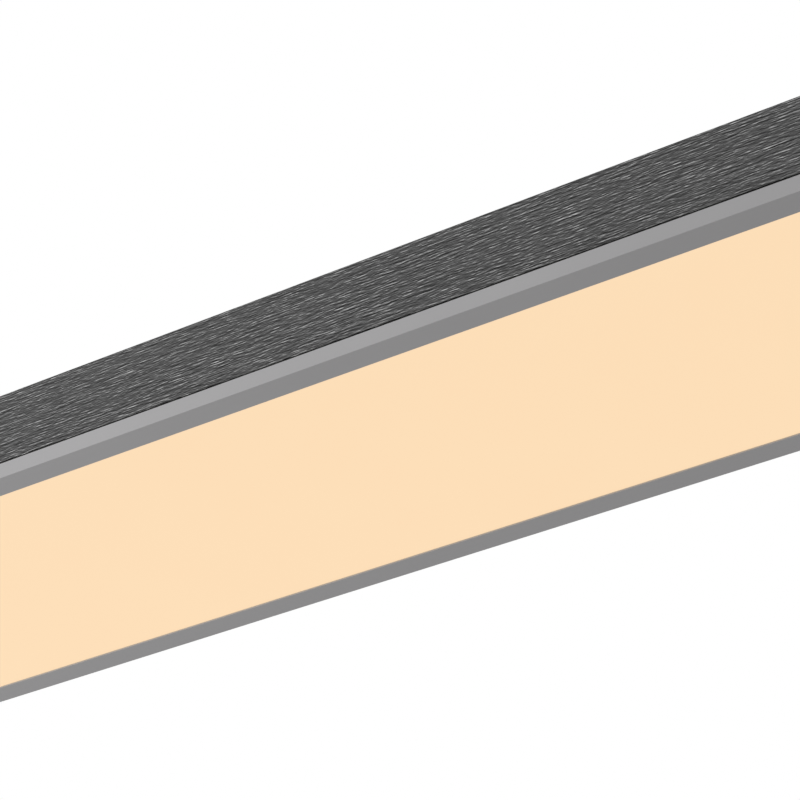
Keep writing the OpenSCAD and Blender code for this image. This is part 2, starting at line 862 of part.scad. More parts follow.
// Supply terminal on the right with two holes, LED terminal on the left with four
module driver_terminals() {
    color("#e9e7df")
        for (e = [-1, 1])
            translate([driver_x + e * (driver_half - driver_terminal[0] / 2 + driver_t), 0,
                pcb_top + driver_terminal[2] / 2])
                difference() {
                    cube(driver_terminal, center = true);
                    for (y = e > 0 ? [-1, 1] : [-1.5, -0.5, 0.5, 1.5])
                        translate([e * driver_terminal[0] / 2, y * terminal_pitch, 0])
                            rotate([0, 90, 0])
                                cylinder(h = 12, r = lead_r + pin_gap, center = true);
                }
}
terminal_pitch = 5.6;

module driver_screws() {
    color(zinc)
        for (x = driver_screw_xs())
            translate([x, 0, driver_floor + driver_t])
                pan_screw(driver_screw_r, driver_t + tray_t + 1, 3.6, 2);
}

// Supply terminals

terminal_hole_z = plate_top + 4.5;
terminal_screw_at = [terminal_x, terminal_y + terminal_size[1] / 2 - 3];
earth_at = [terminal_x - 36, 13];

module terminal_block() {
    s = terminal_size;
    color("#efeee8")
        difference() {
            union() {
                translate([terminal_x - s[0] / 2, terminal_y - s[1] / 2, plate_top])
                    cube([s[0], s[1] - 6, s[2]]);
                translate([terminal_x - s[0] / 2, terminal_y + s[1] / 2 - 6, plate_top])
                    cube([s[0], 6, 3]);
            }
            for (i = [0:2]) {
                translate([terminal_x, terminal_lead_y(i), terminal_hole_z])
                    rotate([0, 90, 0])
                        cylinder(h = s[0] + 2 * cut, r = lead_r + pin_gap, center = true);
                translate([terminal_x - 4, terminal_lead_y(i), plate_top + s[2] - 5])
                    cylinder(h = 6, r = 2.3);
            }
            translate([terminal_screw_at[0], terminal_screw_at[1], plate_top - cut])
                cylinder(h = 6, r = driver_screw_r + pin_gap);
        }
}
function terminal_lead_y(i) = terminal_y - 11 + i * 8;

module terminal_screws() {
    color(zinc) {
        for (i = [0:2])
            translate([terminal_x - 4, terminal_lead_y(i), plate_top + terminal_size[2] - 5])
                difference() {
                    cylinder(h = 2.6, r = 2.2);
                    translate([-3, -0.4, 1.6]) cube([6, 0.8, 2]);
                }
        translate([terminal_screw_at[0], terminal_screw_at[1], plate_top + 3])
            pan_screw(driver_screw_r, 3 + tray_t + 1, 3, 1.8);
    }
}

// Earth screw with the ring tag of the earth lead beneath its head
earth_tag_t = 0.8;

module earth_screw() {
    color("#c9a24a")
        translate([earth_at[0], earth_at[1], plate_top + earth_tag_t])
            pan_screw(driver_screw_r, earth_tag_t + tray_t + 1, 3.8, 2);
}

// Leads inside, each run from its terminal to its terminal

// The straight stretch at a lead's start, out of the point p in the direction d, and the
// same at its end, into p
function lead_out(p, d) = [p, p + 4 * d, p + 8 * d];
function lead_in(p, d) = [p - 8 * d, p - 4 * d, p];

module lead(points, r = lead_r, ref = [0, 0, 1]) {
    tube(curve(points, 3), r, ref);
}

terminal_left = terminal_x - terminal_size[0] / 2;
supply_z = pcb_top + driver_terminal[2] / 2;
supply_x = driver_x + driver_half - 2;
tab_end = body_l / 2 - switch_depth - tab_l;
function in_terminal(i) = [terminal_left + 4, terminal_lead_y(i), terminal_hole_z];
function at_tab(i) = [tab_end, switch_y, tab_z(i)];

// From the terminal block to the switch, and from the switch back to the driver
module live_leads() {
    y = terminal_lead_y(0);
    z = terminal_hole_z;
    color("#7a4a2a") {
        lead(concat(
            lead_out(in_terminal(0), [-1, 0, 0]),
            [
                [terminal_left - 7, y - 6, z + 1], [terminal_left, y - 11, z + 2],
                [terminal_x + 10, y - 13, z + 2], [terminal_x + 40, y - 12, z + 2],
                [tab_end - 40, switch_y, z], [tab_end - 20, switch_y, z - 1]
            ],
            lead_in(at_tab(1), [1, 0, 0])));
        lead(concat(
            lead_out([supply_x, -terminal_pitch, supply_z], [1, 0, 0]),
            [
                [supply_x + 20, -terminal_pitch - 6, z + 6],
                [terminal_left - 14, y - 14, z + 7], [terminal_x + 20, y - 17, z + 7],
                [tab_end - 40, switch_y - 4, z + 5], [tab_end - 20, switch_y - 1, z + 2]
            ],
            lead_in(at_tab(0), [1, 0, 0])));
    }
}

module neutral_lead() {
    color("#3f6fae")
        lead(concat(
            lead_out(in_terminal(1), [-1, 0, 0]),
            [
                [terminal_left - 18, terminal_lead_y(1) + 1, terminal_hole_z - 0.6],
                [supply_x + 26, terminal_pitch - 1.5, supply_z - 3]
            ],
            lead_in([supply_x, terminal_pitch, supply_z], [-1, 0, 0])));
}

earth_tag_r = 4.4;

// From the terminal block to the ring tag under the earth screw
module earth_lead() {
    tag_x = earth_at[0] + earth_tag_r;
    tag_z = plate_top + lead_r + 0.2;
    color("#7f9a3a") {
        lead(concat(
            lead_out(in_terminal(2), [-1, 0, 0]),
            lead_in([tag_x + 1, earth_at[1], tag_z], [-1, 0, 0])));
        translate([earth_at[0], earth_at[1], plate_top])
            difference() {
                union() {
                    cylinder(h = earth_tag_t, r = earth_tag_r);
                    translate([0, -2, 0]) cube([earth_tag_r + 3, 4, earth_tag_t]);
                }
                translate([0, 0, -cut])
                    cylinder(h = earth_tag_t + 2 * cut, r = driver_screw_r + pin_gap);
            }
    }
}

// A lead from the driver's output through the grommet to a board connector. Side is 1 for
// the lead on the outside and -1 for the one on the inside.
module led_lead(side) {
    x_out = driver_x - driver_half;
    y_out = terminal_pitch * (1 + side / 2);
    y = grommet_y + 1.4 * side;
    x = connector_x + 1.6 * side;
    mouth_y = row_y - board_w / 2 + 1;
    z_low = board_low - connector[2] / 2;
    lead(concat(
        lead_out([x_out + 2, y_out, supply_z], [-1, 0, 0]),
        [
            [grommet_x + 12, y, plate_top + 6], [grommet_x + 0.5, y, plate_top + 1.5],
            [grommet_x, y, plate_low - 2], [grommet_x - 7, y, z_low - 0.4],
            [connector_x + 14, y, z_low], [x + 1.5, y + 1.5, z_low]
        ],
        [[x, mouth_y - 3, z_low], [x, mouth_y, z_low], [x, mouth_y + 2, z_low]]),
        lead_r * 0.8, [0.3, 1, 0.2]);
}

module led_plus_leads() {
    color("#b0322a") both_sides() led_lead(1);
}

module led_minus_leads() {
    color("#26262a") both_sides() led_lead(-1);
}

// Rocker switch in the right end cap. Its parts are drawn with Z pointing out of the cap,
// X across the light and Y up.

module at_switch() {
    translate([body_l / 2, switch_y, fitting_z]) rotate([90, 0, 90]) children();
}

module switch_body() {
    color("#18181a")
        at_switch()
            difference() {
                union() {
                    translate([0, 0, -switch_depth])
                        linear_extrude(switch_depth) square([switch_w, switch_h], center = true);
                    linear_extrude(switch_lip)
                        round_rect(switch_w + 2 * switch_rim, switch_h + 2 * switch_rim, 1.6);
                }
                translate([0, 0, -8])
                    linear_extrude(12)
                        square([rocker_w + 2 * fit_gap, rocker_h + 2.4], center = true);
                translate([0, 0, rocker_axis]) rotate([0, 90, 0])
                    cylinder(h = switch_w - 0.6, r = rocker_pin_r + pin_gap, center = true);
                for (s = [-1, 1])
                    translate([0, s * tab_up, -switch_depth - cut])
                        linear_extrude(2 + cut) square([0.8 + pin_gap, 4.8 + pin_gap],
                            center = true);
            }
}

// The rocker at rest is tipped to its ON side
module switch_rocker() {
    h = rocker_h / 2;
    color("#232326")
        at_switch()
            translate([0, 0, rocker_axis])
                rotate([rocker_tilt, 0, 0])
                    union() {
                        rotate([90, 0, 90])
                            linear_extrude(rocker_w, center = true)
                                polygon([
                                    [-h, 3.2], [-h * 0.5, 2], [0, 1.5], [h * 0.5, 2],
                                    [h, 3.2], [h - 0.9, -1.4], [2, -4.6], [-2, -4.6],
                                    [-h + 0.9, -1.4]
                                ]);
                        rotate([0, 90, 0])
                            cylinder(h = switch_w - 0.8, r = rocker_pin_r, center = true);
                    }
}

module switch_tabs() {
    color("#c9b27a")
        at_switch()
            for (s = [-1, 1])
                translate([0, s * tab_up, -switch_depth - tab_l])
                    linear_extrude(tab_l + 2) square([0.8, 4.8], center = true);
}

// Cable gland in the right end cap, drawn like the switch

module at_gland() {
    translate([body_l / 2, gland_y, fitting_z]) rotate([90, 0, 90]) children();
}

module gland_body() {
    inside = cap_t + gland_locknut_h + 1.2;
    color("#2a2a2c")
        at_gland()
            difference() {
                union() {
                    translate([0, 0, -inside]) cylinder(h = inside + 1, r = gland_thread_r);
                    cylinder(h = gland_hex_h, r = gland_hex_r, $fn = 6);
                    cylinder(h = gland_hex_h + gland_barrel_h, r = gland_barrel_r);
                }
                translate([0, 0, -inside - cut]) cylinder(h = 40, r = cable_r + 0.8);
                translate([0, 0, gland_hex_h])
                    cylinder(h = 20, r = gland_barrel_r - 1.2);
            }
}

module gland_seal() {
    color(seal_black)
        at_gland()
            translate([0, 0, gland_hex_h])
                difference() {
                    cylinder(h = gland_barrel_h, r = gland_barrel_r - 1.2 - pin_gap);
                    translate([0, 0, -cut]) cylinder(h = 40, r = cable_r);
                }
}

module gland_nut() {
    low = gland_hex_h + 0.4;
    r_in = gland_barrel_r + pin_gap;
    r_out = r_in + 1.8;
    color("#2a2a2c")
        at_gland()
            difference() {
                union() {
                    translate([0, 0, low]) cylinder(h = 7, r = r_out + 1, $fn = 6);
                    translate([0, 0, low]) cylinder(h = gland_nut_h - 5, r = r_out);
                    translate([0, 0, low + gland_nut_h - 5])
                        cylinder(h = 5, r1 = r_out, r2 = r_out - 2.6);
                }
                translate([0, 0, low - cut])
                    cylinder(h = gland_hex_h + gland_barrel_h + 0.3 - low + cut, r = r_in);
                translate([0, 0, low]) cylinder(h = 40, r = cable_r + 1.1);
            }
}

module gland_locknut() {
    color("#2a2a2c")
        at_gland()
            translate([0, 0, -cap_t - gland_locknut_h])
                difference() {
                    cylinder(h = gland_locknut_h, r = gland_hex_r + 0.6, $fn = 6);
                    translate([0, 0, -cut])
                        cylinder(h = 20, r = gland_thread_r + pin_gap);
                }
}

// Saddles in the track, drawn at the middle and moved to their places

// Plan of the room that a folded leg takes beside the raised middle
module fold_plan() {
    x_out = saddle_l / 2 + 1;
    polygon([
        [leg_foot[1], fold_y(leg_foot[1])], [x_out, fold_y(x_out)],
        [x_out, leg_foot[0]], [leg_foot[1], leg_foot[0]]
    ]);
}

module saddle_section() {
    for (s = [-1, 1]) {
        rect(s * (hat_w / 2 - saddle_t), base_z, s * (track_w / 2 - slide_gap),
            base_z + saddle_t);
        rect(s * (hat_w / 2 - saddle_t), base_z, s * hat_w / 2, -saddle_t);
    }
    rect(-hat_w / 2 + saddle_t, -saddle_t, hat_w / 2 - saddle_t, 0);
    for (s = [-1, 1])
        intersection() {
            translate([s * (hat_w / 2 - saddle_t), -saddle_t]) circle(saddle_t);
            rect(s * (hat_w / 2 - saddle_t), -saddle_t, s * hat_w / 2, 0);
        }
}

module saddle() {
    color(zinc)
        difference() {
            intersection() {
                along_x(saddle_l) saddle_section();
                translate([0, 0, base_z - cut])
                    linear_extrude(hat_h + 2 * cut)
                        round_rect(saddle_l, track_w - 2 * slide_gap, 5);
            }
            for (e = [-1, 1])
                translate([e * ceiling_pitch / 2, 0, -saddle_t - cut])
                    cylinder(h = saddle_t + 2 * cut, r = ceiling_hole_r);
            for (s = [-1, 1])
                translate([0, s * clamp_y, base_z - cut])
                    cylinder(h = saddle_t + 2 * cut, r = clamp_r + pin_gap);
            translate([0, 0, pivot_z]) rotate([90, 0, 0])
                cylinder(h = hat_w + 2 * cut, r = wire_r + pin_gap, center = true);
            translate([0, 0, pivot_z - wire_r - fold_gap])
                linear_extrude(hat_h) both_ends() both_sides() fold_plan();
        }
}

module saddle_right() translate([saddle_pitch / 2, 0, 0]) saddle();
module saddle_left() mirror([1, 0, 0]) saddle_right();

// Clamp screws through a saddle, bearing on the housing's top
module saddle_screws() {
    color(zinc)
        both_sides()
            translate([0, clamp_y, base_z + saddle_t])
                pan_screw(clamp_r, saddle_t + slide_gap, clamp_head_r, 2.2);
}

module saddle_screws_right() translate([saddle_pitch / 2, 0, 0]) saddle_screws();
module saddle_screws_left() mirror([1, 0, 0]) saddle_screws_right();

// Wire hanger, upright as it hangs. Its wire runs from the pivot stub out, up the leg and
// over the crown. A leg leans by leg_lean and meets the crown's arc tangentially.

// Wire drawn where an arc of radius r about the middle ends at leg_lean, running on
// straight for l; a shallow collar of the bending tool's mark covers the join
module straight_from(r, l) {
    rotate([0, 0, leg_lean]) translate([r, 0, 0]) rotate([-90, 0, 0]) {
        cylinder(h = l, r = wire_r);
        cylinder(h = 0.8, r = wire_r + 0.05, center = true);
    }
}

module hanger() {
    color("#8d9092")
        translate([0, 0, pivot_z]) rotate([90, 0, 90]) {
            for (s = [0, 1])
                mirror([s, 0, 0]) {
                    translate([stub_in, 0, 0]) rotate([0, 90, 0])
                        cylinder(h = stub_out - stub_in, r = wire_r);
                    translate([stub_out, bend_r, 0]) {
                        rotate([0, 0, -90])
                            rotate_extrude(angle = 90 + leg_lean)
                                translate([bend_r, 0]) circle(wire_r);
                        straight_from(bend_r, leg_l);
                    }
                    translate([0, crown_z, 0]) straight_from(crown_r, 0.01);
                }
            translate([0, crown_z, 0]) rotate([0, 0, leg_lean])
                rotate_extrude(angle = 180 - 2 * leg_lean)
                    translate([crown_r, 0]) circle(wire_r);
        }
}

module hanger_right() translate([saddle_pitch / 2, 0, 0]) hanger();
module hanger_left() mirror([1, 0, 0]) hanger_right();

housing();
end_cap_left();
end_cap_right();
end_seal_left();
end_seal_right();
end_screws_left();
end_screws_right();
frame_rail_front();
frame_rail_rear();
frame_rail_left();
frame_rail_right();
frame_corner_keys();
frame_key_screws();
frame_seal();
lens();
frame_clips_front();
frame_clips_rear();
tray_screws();
reflector_tray();
tray_grommets();
led_board_front_left();
led_board_front_right();
led_board_rear_left();
led_board_rear_right();
led_chips_front();
led_chips_rear();
board_screws();
board_connectors();
driver_case();
driver_cover();
driver_board();
driver_transformer();
driver_capacitors();
driver_terminals();
driver_screws();
terminal_block();
terminal_screws();
earth_screw();
live_leads();
neutral_lead();
earth_lead();
led_plus_leads();
led_minus_leads();
switch_body();
switch_rocker();
switch_tabs();
gland_body();
gland_nut();
gland_seal();
gland_locknut();
saddle_left();
saddle_right();
saddle_screws_left();
saddle_screws_right();
hanger_left();
hanger_right();
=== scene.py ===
# %% [markdown]
# # Hanging shop light
# A slim ceiling light: a long brushed aluminium housing, an opal lens in a painted frame
# below it, and two wire hangers on top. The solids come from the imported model, in metres,
# with the ceiling screws at z = 0 and the light's length along X. This script gives each
# solid its finish and its fine edges, and adds the small details.

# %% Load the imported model
import bpy
import bmesh
import json
import math
from mathutils import Matrix, Vector

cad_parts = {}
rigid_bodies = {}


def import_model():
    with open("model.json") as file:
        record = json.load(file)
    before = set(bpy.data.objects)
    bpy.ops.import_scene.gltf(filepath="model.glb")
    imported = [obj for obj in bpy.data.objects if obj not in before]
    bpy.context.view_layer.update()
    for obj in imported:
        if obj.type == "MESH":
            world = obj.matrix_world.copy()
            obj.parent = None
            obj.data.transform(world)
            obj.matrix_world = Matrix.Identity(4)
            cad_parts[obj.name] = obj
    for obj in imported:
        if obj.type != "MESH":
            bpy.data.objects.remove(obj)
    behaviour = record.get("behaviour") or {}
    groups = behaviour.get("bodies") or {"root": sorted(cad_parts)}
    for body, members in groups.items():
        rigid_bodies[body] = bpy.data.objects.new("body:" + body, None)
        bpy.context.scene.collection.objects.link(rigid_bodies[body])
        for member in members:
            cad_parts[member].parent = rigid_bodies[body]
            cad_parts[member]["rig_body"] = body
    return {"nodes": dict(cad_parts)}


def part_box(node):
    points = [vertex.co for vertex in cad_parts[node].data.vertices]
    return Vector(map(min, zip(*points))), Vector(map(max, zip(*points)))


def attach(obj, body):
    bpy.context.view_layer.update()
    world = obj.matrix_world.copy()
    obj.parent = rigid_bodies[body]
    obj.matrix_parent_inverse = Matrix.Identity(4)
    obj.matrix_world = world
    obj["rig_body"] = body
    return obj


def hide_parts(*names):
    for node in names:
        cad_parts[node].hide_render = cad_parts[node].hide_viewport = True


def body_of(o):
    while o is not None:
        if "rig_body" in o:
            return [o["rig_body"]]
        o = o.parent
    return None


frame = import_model()
scene = bpy.context.scene
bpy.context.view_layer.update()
MM = 0.001

# %% [markdown]
# ## Camera
# The photograph looks up at the middle of the light from below its front, with a long
# lens. The place and the two angles were fitted to the six long edges of the light, so
# the camera needs neither roll nor shift.

# %% Camera
CAMERA_AT = Vector((0.2694, -0.5353, -0.5885))
CAMERA_TURN = math.radians(26.92)
CAMERA_RISE = math.radians(43.11)
FOCAL_LENGTH_MM = 90
SENSOR_MM = 36
NEAREST_SEEN = 0.01


def new_object(name, data):
    """An object with this data, in the scene."""
    thing = bpy.data.objects.new(name, data)
    scene.collection.objects.link(thing)
    return thing


camera = new_object("camera", bpy.data.cameras.new("camera"))
camera.data.lens = FOCAL_LENGTH_MM
camera.data.sensor_width = SENSOR_MM
camera.data.clip_start = NEAREST_SEEN
forward = Vector((-math.sin(CAMERA_TURN) * math.cos(CAMERA_RISE),
                  math.cos(CAMERA_TURN) * math.cos(CAMERA_RISE),
                  math.sin(CAMERA_RISE)))
camera.location = CAMERA_AT
camera.rotation_euler = forward.to_track_quat("-Z", "Y").to_euler()
scene.camera = camera
scene.view_settings.view_transform = "Standard"
print("camera at", tuple(round(c, 3) for c in CAMERA_AT))

# %% [markdown]
# ## Helpers for materials
# Colours are written as sRGB hex, as a paint chart gives them, and turned to the linear
# values that the shader wants. One function adds a node with its settings and its links,
# which keeps each finish below to a few lines. Patterns are noises on the object's own
# coordinates, scaled from millimetres, so that they stay put and show at their real size.

# %% Colour and node helpers
def linear(code):
    """The linear RGBA of an sRGB hex colour."""
    parts = [int(code[i:i + 2], 16) / 255 for i in (1, 3, 5)]
    return tuple(c / 12.92 if c <= 0.04045 else ((c + 0.055) / 1.055) ** 2.4
                 for c in parts) + (1,)


def add(tree, kind, settings=None, links=None):
    """A new node. Settings name its properties or its inputs, links its inputs."""
    node = tree.nodes.new(kind)
    for key, value in (settings or {}).items():
        if isinstance(key, str) and hasattr(node, key):
            setattr(node, key, value)
        else:
            node.inputs[key].default_value = value
    for key, socket in (links or {}).items():
        tree.links.new(socket, node.inputs[key])
    return node


def new_material(name):
    """An empty material and its node tree."""
    material = bpy.data.materials.new(name)
    material.use_nodes = True
    material.node_tree.nodes.clear()
    return material, material.node_tree


# %% Pattern helpers
NOISE_LOW, NOISE_HIGH = 0.3, 0.7


def pattern(tree, size_mm, shift_mm=(0, 0, 0)):
    """Object coordinates scaled so that one unit of a pattern is size_mm long.

    A single number is the size all ways, and three are the sizes along X, Y and Z.
    """
    place = add(tree, "ShaderNodeTexCoord")
    sizes = size_mm if isinstance(size_mm, (tuple, list)) else (size_mm,) * 3
    scale = tuple(1 / (size * MM) for size in sizes)
    shift = tuple(move / size for move, size in zip(shift_mm, sizes))
    return add(tree, "ShaderNodeMapping", {"Scale": scale, "Location": shift},
               {"Vector": place.outputs["Object"]}).outputs["Vector"]


def noise(tree, vector, detail=2, roughness=0.5, offset=0):
    """A noise of one cell a unit. Another offset gives another noise."""
    node = add(tree, "ShaderNodeTexNoise",
               {"noise_dimensions": "4D", "W": offset, "Scale": 1, "Detail": detail,
                "Roughness": roughness}, {"Vector": vector})
    return node.outputs["Fac"]


def ramp(tree, value, stops):
    """Colours by value, given as (place, hex) from low to high."""
    node = add(tree, "ShaderNodeValToRGB", links={"Fac": value})
    band = node.color_ramp.elements
    while len(band) < len(stops):
        band.new(0.5)
    for element, (place, code) in zip(band, stops):
        element.position = place
        element.color = linear(code)
    return node.outputs["Color"]


def spread(tree, value, low, high):
    """A noise, nearly all of it between NOISE_LOW and NOISE_HIGH, made low to high."""
    return add(tree, "ShaderNodeMapRange",
               {"From Min": NOISE_LOW, "From Max": NOISE_HIGH,
                "To Min": low, "To Max": high},
               {"Value": value}).outputs["Result"]


def finish(tree, settings, links, grain, depth_mm):
    """The surface shader and the output. Grain is a height, depth_mm its depth."""
    bump = add(tree, "ShaderNodeBump", {"Strength": 1, "Distance": depth_mm * MM},
               {"Height": grain})
    links = dict(links, Normal=bump.outputs["Normal"])
    shader = add(tree, "ShaderNodeBsdfPrincipled", settings, links)
    add(tree, "ShaderNodeOutputMaterial", links={"Surface": shader.outputs["BSDF"]})


finishes = {}

# %% [markdown]
# ## Studio
# The light hangs, so nothing stands behind it in the photograph but white. The world is
# a plain soft light, and shows as white only to what looks at it: the camera, gloss and
# clear things. So the light on the object and the white behind it are set apart.

# %% World
WORLD_LIGHT = 0.55
WHITE = (1, 1, 1, 1)


def looked_at(tree):
    """One for rays of the camera, of gloss and through clear things, else nought."""
    ray = add(tree, "ShaderNodeLightPath").outputs
    seen = add(tree, "ShaderNodeMath", {"operation": "ADD"},
               {0: ray["Is Camera Ray"], 1: ray["Is Glossy Ray"]})
    return add(tree, "ShaderNodeMath", {"operation": "ADD", "use_clamp": True},
               {0: seen.outputs[0], 1: ray["Is Transmission Ray"]}).outputs[0]


world = bpy.data.worlds.new("studio")
scene.world = world
world.use_nodes = True
sky = world.node_tree
sky.nodes.clear()
soft = add(sky, "ShaderNodeBackground", {"Color": WHITE, "Strength": WORLD_LIGHT})
white = add(sky, "ShaderNodeBackground", {"Color": WHITE, "Strength": 1})
both = add(sky, "ShaderNodeMixShader",
           links={0: looked_at(sky), 1: soft.outputs[0], 2: white.outputs[0]})
add(sky, "ShaderNodeOutputWorld", links={"Surface": both.outputs[0]})
print("world light", WORLD_LIGHT)

# %% [markdown]
# ### Floor
# The floor is a matt white sweep far below the light, and takes its soft shadow. A plain
# one would hide the light from beneath, so its lower side is clear. What it sends up is
# toned down from what it shows, as with the world.

# %% Floor
FLOOR_Z = -1.30
FLOOR_HALF = 40
FLOOR_MOTTLE_MM = 3
FLOOR_MOTTLE = (0.98, 1.0)
# A tone above one makes up for the shade below the light, so that the floor shows white.
FLOOR_SENDS, FLOOR_SHOWS = 0.60, 1.50

floor_paint, tree = new_material("matt_white_floor")
shade = spread(tree, noise(tree, pattern(tree, FLOOR_MOTTLE_MM)), *FLOOR_MOTTLE)
tone = add(tree, "ShaderNodeMapRange", {"To Min": FLOOR_SENDS, "To Max": FLOOR_SHOWS},
           {"Value": looked_at(tree)})
tone = add(tree, "ShaderNodeMath", {"operation": "MULTIPLY"},
           {0: tone.outputs[0], 1: shade})
matt = add(tree, "ShaderNodeBsdfDiffuse", links={"Color": tone.outputs[0]})
clear = add(tree, "ShaderNodeBsdfTransparent")
under = add(tree, "ShaderNodeNewGeometry")
sides = add(tree, "ShaderNodeMixShader",
            links={0: under.outputs["Backfacing"], 1: matt.outputs[0], 2: clear.outputs[0]})
add(tree, "ShaderNodeOutputMaterial", links={"Surface": sides.outputs[0]})

work = bmesh.new()
bmesh.ops.create_grid(work, x_segments=1, y_segments=1, size=FLOOR_HALF)
bmesh.ops.translate(work, verts=work.verts, vec=(0, 0, FLOOR_Z))
floor = new_object("floor", bpy.data.meshes.new("floor"))
work.to_mesh(floor.data)
work.free()
floor.data.materials.append(floor_paint)
print("floor at", FLOOR_Z)

# %% [markdown]
# ### Lamps
# In the photograph the frame is a little brighter towards its left end, and its side is
# brighter than its face. Two soft lamps in front on the left give both, one level with
# the light and one below it. A third lamp lights the top, which the photograph hides.
# They are square and soft, as studio lamps behind a cloth are.

# %% Lamps
BODY_MIDDLE = (0, 0, -0.05)
TOP_MIDDLE = (0, 0, 0)


def lamp(name, place, target, size, watts):
    """A soft square lamp at a place, turned to a target."""
    data = bpy.data.lights.new(name, "AREA")
    data.shape = "SQUARE"
    data.size = size
    data.energy = watts
    bulb = new_object(name, data)
    bulb.location = place
    aim = Vector(target) - Vector(place)
    bulb.rotation_euler = aim.to_track_quat("-Z", "Y").to_euler()
    bulb.visible_camera = False
    print(name, watts, "W")


lamp("side_lamp", (-0.5, -0.9, -0.1), BODY_MIDDLE, size=0.4, watts=3.1)
lamp("low_lamp", (-0.7, -0.5, -0.6), BODY_MIDDLE, size=0.4, watts=2.8)
lamp("top_lamp", (0.6, 0.9, 1.6), TOP_MIDDLE, size=1.2, watts=12.0)

# %% [markdown]
# ## Finishes
# ### Brushed, dark anodised aluminium
# The housing is extruded, brushed along its length with an abrasive belt, and then
# anodised dark grey. The grit leaves scratches about 2 to 12 mm long, each a groove with
# a lip thrown up beside it. Each lip catches the light and each groove lies in shade, so
# the eye sees light dashes and dark ones, side by side. These are painted into the base
# colour: a painted highlight on each lip and painted shade in each groove, over the real
# grain of the brushing. One stretched noise would give the painted highlights, but alone
# it looks soft. So the same noise is taken again, shifted along Z, and darkens what it
# covers with painted shade. On the housing's top, where Z points out of the metal, lips
# and grooves are just mixed. Real scratches are some hundredths of a millimetre wide.
# These are 0.22 mm wide, with 0.7 mm from lip to groove, so that they show at all. The
# caps are die cast, brushed across and painted with a dark clear lacquer to match, and get
# the same painted highlights and painted shade, fainter. The pattern runs through them
# along Y, so their narrow sides show its ends as fine grain, like the blasted sides of a
# casting.

# %% Brushed aluminium
ALONG_X, ALONG_Y = 0, 1
SCRATCH_MM = 0.22
# Each is a length in millimetres, and its share when it is mixed into those before it.
SCRATCHES = ((4, 1.0), (12, 0.44), (1.6, 0.25))
# Each groove lies this far from its lip, and its painted shade darkens the metal by this
# share.
GROOVE_MM = 0.7
GROOVE_SHADE_SHARE = 0.6
SCRATCH_DEPTH_MM = 0.02
SCRATCH_ROUGH = (0.52, 0.38)


def scratches(tree, axis, offset, shift_mm=0):
    """Lines of three lengths, each mixed in by its share, and shifted along Z."""
    mixed = None
    for layer, (length_mm, share) in enumerate(SCRATCHES):
        size_mm = [SCRATCH_MM] * 3
        size_mm[axis] = length_mm
        place = pattern(tree, size_mm, (0, 0, shift_mm))
        lines = noise(tree, place, detail=0, offset=offset + layer)
        mixed = lines if mixed is None else add(
            tree, "ShaderNodeMix", {"data_type": "FLOAT", 0: share},
            {2: mixed, 3: lines}).outputs[0]
    return mixed


def brushed(name, axis, stops, offset=0):
    """Dark metal with painted highlights on the scratch lips and, beside them, painted shade
    in the grooves they came from.
    """
    material, tree = new_material(name)
    lit_lips = scratches(tree, axis, offset)
    shaded_grooves = scratches(tree, axis, offset, GROOVE_MM)
    # The marks are painted light: the lips' noise lightens as painted highlight, and the
    # grooves' noise darkens as painted shade.
    marks = add(tree, "ShaderNodeMath", {"operation": "MULTIPLY_ADD", 1: -GROOVE_SHADE_SHARE},
                {0: shaded_grooves, 2: lit_lips}).outputs[0]
    marks = add(tree, "ShaderNodeMath", {"operation": "ADD", 1: GROOVE_SHADE_SHARE / 2},
                {0: marks}).outputs[0]
    finish(tree, {"Metallic": 1.0},
           {"Base Color": ramp(tree, marks, stops),
            "Roughness": spread(tree, marks, *SCRATCH_ROUGH)}, marks, SCRATCH_DEPTH_MM)
    return material


# Along each ramp the dark stops are painted shade in the grooves and the light stops are
# painted highlights on the lips. The caps' stops lie closer together.
finishes["brushed_aluminium"] = brushed(
    "brushed_dark_anodised_aluminium", ALONG_X,
    ((0.357, "#161616"), (0.434, "#3A3A3A"), (0.51, "#505050"), (0.577, "#636363"),
     (0.637, "#838383"), (0.709, "#C2C2C2")))
finishes["cap_aluminium"] = brushed(
    "cast_brushed_lacquered_aluminium", ALONG_Y,
    ((0.34, "#3E3E3F"), (0.51, "#4B4B4C"), (0.68, "#5E5E5F")), offset=7)
print("brushed finishes", len(finishes))

# %% [markdown]
# ### Paint and powder coat
# The lens frame is extruded too, and sprayed with a satin light grey paint. Up close
# such a coat has a faint orange peel, about a millimetre from dimple to dimple. The tray
# is steel with a white powder coat, which melts into deeper and wider dimples. One
# function makes both: a fine noise for the dimples, and a wide one for faint clouds.

# %% Coats
def coat(name, colours, peel_mm, depth_mm, cloud_mm, offset, rough):
    """A coat with its colours, its orange peel and its clouds."""
    material, tree = new_material(name)
    peel = noise(tree, pattern(tree, peel_mm))
    cloud = noise(tree, pattern(tree, cloud_mm), offset=offset)
    stops = tuple(zip((NOISE_LOW, NOISE_HIGH), colours))
    finish(tree, {"IOR": 1.5},
           {"Base Color": ramp(tree, cloud, stops),
            "Roughness": spread(tree, peel, *rough)}, peel, depth_mm)
    return material


finishes["frame_paint"] = coat(
    "satin_grey_spray_paint", ("#A5A4A5", "#A8A7A8"), peel_mm=1.2, depth_mm=0.006,
    cloud_mm=60, offset=2, rough=(0.42, 0.50))
finishes["white_steel"] = coat(
    "white_powder_coat", ("#E9E9E6", "#EFEFEC"), peel_mm=1.6, depth_mm=0.015,
    cloud_mm=40, offset=1, rough=(0.45, 0.56))
print("coats done")

# %% [markdown]
# ### Opal lens
# The lens is extruded acrylic with white pigment. It scatters the light of the diodes
# so well that the whole pane glows evenly in a warm cream. Light could be sent through
# it from the diodes, but that takes long to render and leaves grain. So the glow is
# written as the colour that the photograph shows, less the little that the pane reflects.

# %% Opal acrylic
LENS_GLOW = 0.942
LENS_GLOSS = 0.25
HAZE_MM = 30
SILK_MM, SILK_DEPTH_MM = 0.8, 0.002

